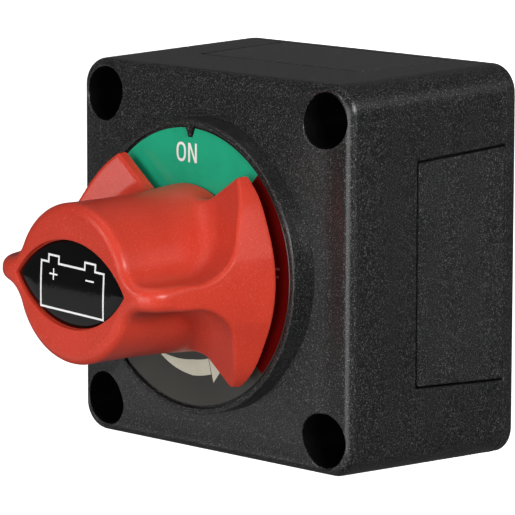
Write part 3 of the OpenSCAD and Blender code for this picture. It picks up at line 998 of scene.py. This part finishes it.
def make_knob():
    """The knob's field surface, with its eye, drive square, screw well and hidden relief cut out."""
    points, quads = field_surface(knob_field, (-24.3, -20.7, 45.0), (24.3, 20.7, 74.2), 0.34)
    knob = mesh_object("knob_moulding", points, quads.tolist())
    face_outwards(knob)
    flare = 0.16
    eye = []
    for grow, z in ((0, EYE_FLOOR), (0, KNOB_FRONT - flare), (flare + 0.5, KNOB_FRONT + 0.5)):
        eye.append([(x, y, z) for x, y in lens_outline(EYE_HALF[0] + grow, EYE_HALF[1] + grow)])
    cuts = [loft("tool", eye)]
    socket = [(4.15, 4.15), (-4.15, 4.15), (-4.15, -4.15), (4.15, -4.15)]
    cuts.append(prism("tool", socket, 44, 60))
    cuts.append(lathe("tool", [(2.1, 58), (2.1, 63), (3.9, 63), (3.9, 73)], 32))
    cuts.append(ring_solid("tool", [(7.6, 44), (12, 44), (12, 68), (7.6, 68)], 64))
    combine(knob, cuts, "DIFFERENCE")
    smooth(knob, 40, False)
    knob.data.materials.append(KNOB_RED)
    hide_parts("knob")
    return on_knob(knob)


def stepped(points, step):
    """A closed outline with extra points, none farther apart than step."""
    out = []
    for (x0, y0), (x1, y1) in zip(points, points[1:] + points[:1]):
        n = math.ceil(math.hypot(x1 - x0, y1 - y0) / step)
        out += [(x0 + (x1 - x0) * k / n, y0 + (y1 - y0) * k / n) for k in range(n)]
    return out


def badge_drop(y):
    """How far the badge's crowned face lies below its middle line."""
    return 0.006 * y * y


def battery_outline():
    """Generic battery sign: a case with two posts, a plus and a minus."""
    t = 0.36
    case = [
        (-7.6, -4.8), (-7.6, 3.05), (-5.8, 3.05), (-5.8, 4.3), (-3.25, 4.3), (-3.25, 3.05),
        (3.3, 3.05), (3.3, 4.3), (5.9, 4.3), (5.9, 3.05), (8.1, 3.05), (8.1, -4.8),
    ]
    a, b = 0.14, 1.0
    arm = [(-a, b), (a, b), (a, a)]
    plus = [p for i in range(4) for p in turned([(x, y, 0) for x, y in arm], -90 * i)]
    minus = [(-1.05, -a), (1.05, -a), (1.05, a), (-1.05, a)]
    outlines = [moved([(x, y) for x, y, _ in plus], (-4.45, 1.1)), moved(minus, (4.65, 1.3))]
    return [(*strip(stepped(case, 0.6), t, True), True)], outlines


def make_badge():
    """Black glossy insert, crowned from top to bottom, and the sign printed on it."""
    top = BADGE_TOP_Z
    loops = []
    for inset, z in ((0.05, EYE_FLOOR), (0, EYE_FLOOR + 0.1)):
        outline = lens_outline(EYE_HALF[0] - 0.24 - inset * 1.6, EYE_HALF[1] - 0.15 - inset)
        loops.append([(x, y, z) for x, y in outline])
    for inset, down in ((0, 0.42), (0.12, 0.26), (0.4, 0.15), (0.8, 0.07), (1.25, 0.02), (1.8, 0)):
        outline = lens_outline(EYE_HALF[0] - 0.24 - inset * 1.6, EYE_HALF[1] - 0.15 - inset)
        loops.append([(x, y, top - down - badge_drop(y)) for x, y in outline])
    for f in np.linspace(0.95, 0.02, 16):
        loops.append([(x * f, y * f, top - badge_drop(y * f)) for x, y in outline])
    badge = loft("knob_badge_insert", loops)
    smooth(badge, 50, True)
    badge.data.materials.append(BADGE_BLACK)
    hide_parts("knob_badge")
    strokes, outlines = battery_outline()
    sign = inked("knob_badge_sign", strokes, top + 0.015, BADGE_WHITE, outlines)
    for vertex in sign.data.vertices:
        vertex.co.y += badge_drop(vertex.co.z / MM) * MM
    for piece in (badge, sign):
        on_knob(piece)


make_knob()
make_badge()


# ---------------------------------------------------------------- terminals


STUD_AT = 16.0
STUD_R = 5.0
NUT_AF = 17.0


def threaded_stud(side):
    """A stud with a helical thread, a plain neck and a flat contact head with chamfered edges."""
    pitch, depth, r = 1.5, 0.8, STUD_R
    steps = 36
    loops = []
    z, end, neck = 5.0, 24.4, 28.0
    count = int((end - z) / pitch * 8)
    for i in range(count + 1):
        height = z + (end - z) * i / count
        lead = min(1, (height - z) / 0.8)
        loop = []
        for k in range(steps):
            phase = (height / pitch - k / steps) % 1
            groove = depth * (1 - abs(2 * phase - 1)) * lead + (1 - lead) * depth
            a = TURN * k / steps
            loop.append(((r - groove) * math.cos(a), (r - groove) * math.sin(a), height))
        loops.append(loop)
    for rr, zz in ((r - 0.15, 24.6), (r - 0.02, neck), (7.8, neck), (8.0, neck + 0.2),
                   (8.0, neck + 1.9), (7.7, neck + 2.2)):
        loops.append(circle_loop(rr, zz, steps))
    loops = [[(x + side * STUD_AT, y, h) for x, y, h in loop] for loop in loops]
    name = "right" if side > 0 else "left"
    stud = loft(f"stud_{name}_threaded", loops)
    smooth(stud, 25, False)
    stud.data.materials.append(BRASS)
    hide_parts(f"stud_{name}")
    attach(stud, "housing")


def hexagon(side, z0, z1):
    """A hexagon nut with chamfered corners and a countersunk bore."""
    corner = NUT_AF / 2 / math.cos(TURN / 12)
    chamfer = [(corner - 1.1 + 1.65 * d, d) for d in np.linspace(0, 0.7, 8)]
    outside = [(r, z0 + d) for r, d in chamfer] + [(r, z1 - d) for r, d in reversed(chamfer)]
    bore = [(5.6, z1), (5.02, z1 - 0.6), (5.02, z0 + 0.6), (5.6, z0)]
    return ring_solid("nut", outside + bore, 72, (side * STUD_AT, 0), NUT_AF)


def joined(name, parts, material, node):
    """Joins a pair of fasteners into the one piece that stands for their node."""
    mesh = bpy.data.meshes.new(name)
    bm = bmesh.new()
    for part in parts:
        bm.from_mesh(part.data)
        drop(part)
    bm.to_mesh(mesh)
    bm.free()
    obj = bpy.data.objects.new(name, mesh)
    bpy.context.scene.collection.objects.link(obj)
    mesh.materials.append(material)
    smooth(obj, 25, False)
    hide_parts(node)
    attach(obj, "housing")
    return obj


def split_washer(side, z0, z1):
    """A spring washer cut through at one side."""
    ring = ring_solid("ring", rect_profile(5.25, NUT_AF / 2, z0, z1, 0.2), 64, (side * STUD_AT, 0))
    x = side * STUD_AT
    gap = [(x, -0.4), (x + 12, -0.4), (x + 12, 0.4), (x, 0.4)]
    return combine(ring, [prism("tool", gap, z0 - 1, z1 + 1)], "DIFFERENCE")


def make_terminals():
    """Both studs, with their nuts and washers."""
    for side in (1, -1):
        threaded_stud(side)
    both = (1, -1)
    jam, nut = height_of("jam_nuts"), height_of("terminal_nuts")
    flat, split = height_of("flat_washers"), height_of("spring_washers")
    joined("jam_nuts_hex", [hexagon(s, *jam) for s in both], BRASS, "jam_nuts")
    joined("terminal_nuts_hex", [hexagon(s, *nut) for s in both], ZINC, "terminal_nuts")
    rings = [
        ring_solid("ring", rect_profile(5.25, 10.5, *flat, 0.15), 72, (s * STUD_AT, 0)) for s in both
    ]
    joined("flat_washers_plain", rings, ZINC, "flat_washers")
    springs = [split_washer(s, *split) for s in both]
    joined("spring_washers_split", springs, SPRING_STEEL, "spring_washers")


def base_screw(x, y):
    """A pan-head screw seen from behind, with a cross recess."""
    z0, z1 = height_of("base_screws")
    seat = height_of("contact_base")[0]
    head = [(0.01, z0), (2.2, z0 + 0.05), (2.9, z0 + 0.5), (3.2, z0 + 1.2), (3.2, seat), (1.35, seat)]
    screw = lathe("screw", head + [(1.35, z1 - 0.6), (0.8, z1)], 32, (x, y))
    cross = []
    for w, h in ((1.6, 0.35), (0.35, 1.6)):
        bar = [(x - w, y - h), (x + w, y - h), (x + w, y + h), (x - w, y + h)]
        cross.append(prism("tool", bar, z0 - 1, z0 + 1.1))
    return combine(screw, cross, "DIFFERENCE")


make_terminals()
joined(
    "base_screws_pan",
    [base_screw(sx * BASE_SCREW_AT[0], sy * BASE_SCREW_AT[1]) for sx, sy in CORNERS],
    ZINC, "base_screws",
)


# ---------------------------------------------------------------- CAD pieces that stay


def finish_node(node, material, bevel=0.0):
    """Gives a CAD node its material and, where asked, softened edges."""
    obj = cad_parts[node]
    obj.data.materials.clear()
    obj.data.materials.append(material)
    weld = obj.modifiers.new("weld", "WELD")
    weld.merge_threshold = 1e-6
    if bevel:
        soften(obj, bevel)


for node, material, bevel in (
    ("contact_base", BASE_BROWN, 0.15),
    ("base_gasket", SEAL_RUBBER, 0.0),
    ("thrust_washer", WASHER_WHITE, 0.0),
    ("shaft_seal", SEAL_RUBBER, 0.0),
    ("rotor", ROTOR_WHITE, 0.1),
    ("knob_screw", ZINC, 0.1),
    ("contact_bridge", COPPER, 0.15),
    ("bridge_tips", SILVER, 0.1),
    ("bridge_spring", SPRING_STEEL, 0.0),
):
    finish_node(node, material, bevel)


# ---------------------------------------------------------------- studio


def backdrop():
    """Pale floor that sweeps up all round into a dome. Only the camera sees it: it sheds no light."""
    plate_room = 14
    low, reach = -REAR_HALF - plate_room, 1500
    profile = [(0.01, 0), (400, 0), (reach - 500, 0)]
    profile += [(reach - 500 + x, 500 + y) for x, y in arc(0, 0, 500, -90, 0, 12)]
    profile += arc(0, 1200, reach, 0, 89, 12)
    steps = 96
    points, faces = [], []
    for r, h in profile:
        points += [(x, low + h, y) for x, y, _ in circle_loop(r, 0, steps)]
    for i in range(len(profile) - 1):
        for k in range(steps):
            m = (k + 1) % steps
            faces.append((i * steps + k, i * steps + m, (i + 1) * steps + m, (i + 1) * steps + k))
    floor = mesh_object("studio_floor", points, faces)
    floor.data.shade_smooth()
    mat, tree, bsdf = shader("studio_paper", roughness=0.95)
    tone = spread(tree, noise(tree, place(tree), 60.0, 2.0), 0, 1)
    paper = blend_colors(tree, tone, (0.86, 0.86, 0.86), (0.9, 0.9, 0.9))
    tree.links.new(paper, bsdf.inputs["Base Color"])
    tree.links.new(paper, bsdf.inputs["Emission Color"])
    bsdf.inputs["Emission Strength"].default_value = 1.0
    floor.data.materials.append(mat)
    floor.visible_diffuse = False
    floor.visible_glossy = False
    floor.visible_shadow = False


def aim(obj, at, target):
    """Puts a light at one bench-frame place, pointing at another."""
    obj.location = to_row(at)
    obj.rotation_mode = "QUATERNION"
    obj.rotation_quaternion = (to_row(target) - to_row(at)).to_track_quat("-Z", "Y")


def softbox(name, at, size, power, target=(0, 0, 40)):
    """Rectangular area light at a bench-frame place in millimetres."""
    data = bpy.data.lights.new(name, "AREA")
    data.shape = "RECTANGLE"
    data.size, data.size_y = size[0] * MM, size[1] * MM
    data.energy = power
    obj = bpy.data.objects.new(name, data)
    bpy.context.scene.collection.objects.link(obj)
    obj.visible_camera = False
    aim(obj, at, target)


def make_camera(azimuth, elevation, roll, distance, slide_right, slide_up, lens):
    """Camera round a point 20 mm off the wall, slid in its own plane. Millimetres and degrees."""
    a, e, r = (math.radians(v) for v in (azimuth, elevation, roll))
    back = Vector((math.sin(a) * math.cos(e), -math.cos(a) * math.cos(e), math.sin(e)))
    right = (-back).cross(Vector((0, 0, 1))).normalized()
    up = right.cross(-back)
    right, up = right * math.cos(r) + up * math.sin(r), up * math.cos(r) - right * math.sin(r)
    data = bpy.data.cameras.new("camera")
    data.sensor_width = 36
    data.lens = lens
    data.clip_start, data.clip_end = 0.05, 20
    camera = bpy.data.objects.new("camera", data)
    bpy.context.scene.collection.objects.link(camera)
    place_at = to_row((0, 0, 20)) + (back * distance + right * slide_right + up * slide_up) * MM
    turn = Matrix((right, up, back)).transposed().to_4x4()
    camera.matrix_world = Matrix.Translation(place_at) @ turn
    bpy.context.scene.camera = camera


def make_world(color, strength):
    """Even light from all round."""
    world = bpy.data.worlds.new("studio")
    world.use_nodes = True
    shade = world.node_tree.nodes["Background"]
    shade.inputs["Color"].default_value = (*color, 1)
    shade.inputs["Strength"].default_value = strength
    bpy.context.scene.world = world


backdrop()
make_world((1, 1, 1), 0.11)
softbox("wide_light", (250, 0, 960), (700, 500), 5.0)
softbox("side_light", (880, 330, 200), (400, 300), 7.2)
softbox("strip_light", (-270, 400, 880), (70, 320), 1.5)
softbox("top_light", (0, 900, 150), (700, 500), 0.75)
softbox("rim_light", (770, 430, -470), (300, 400), 0.75)
softbox("back_light", (-420, -140, -850), (500, 400), 13)
softbox("table_light", (-300, -230, 560), (1300, 800), 1.65, (-300, 0, 560))
make_camera(45.567, 8.892, 0.138, 749.278, -6.427, -1.084, 295.06)
bpy.context.scene.view_settings.view_transform = "Standard"
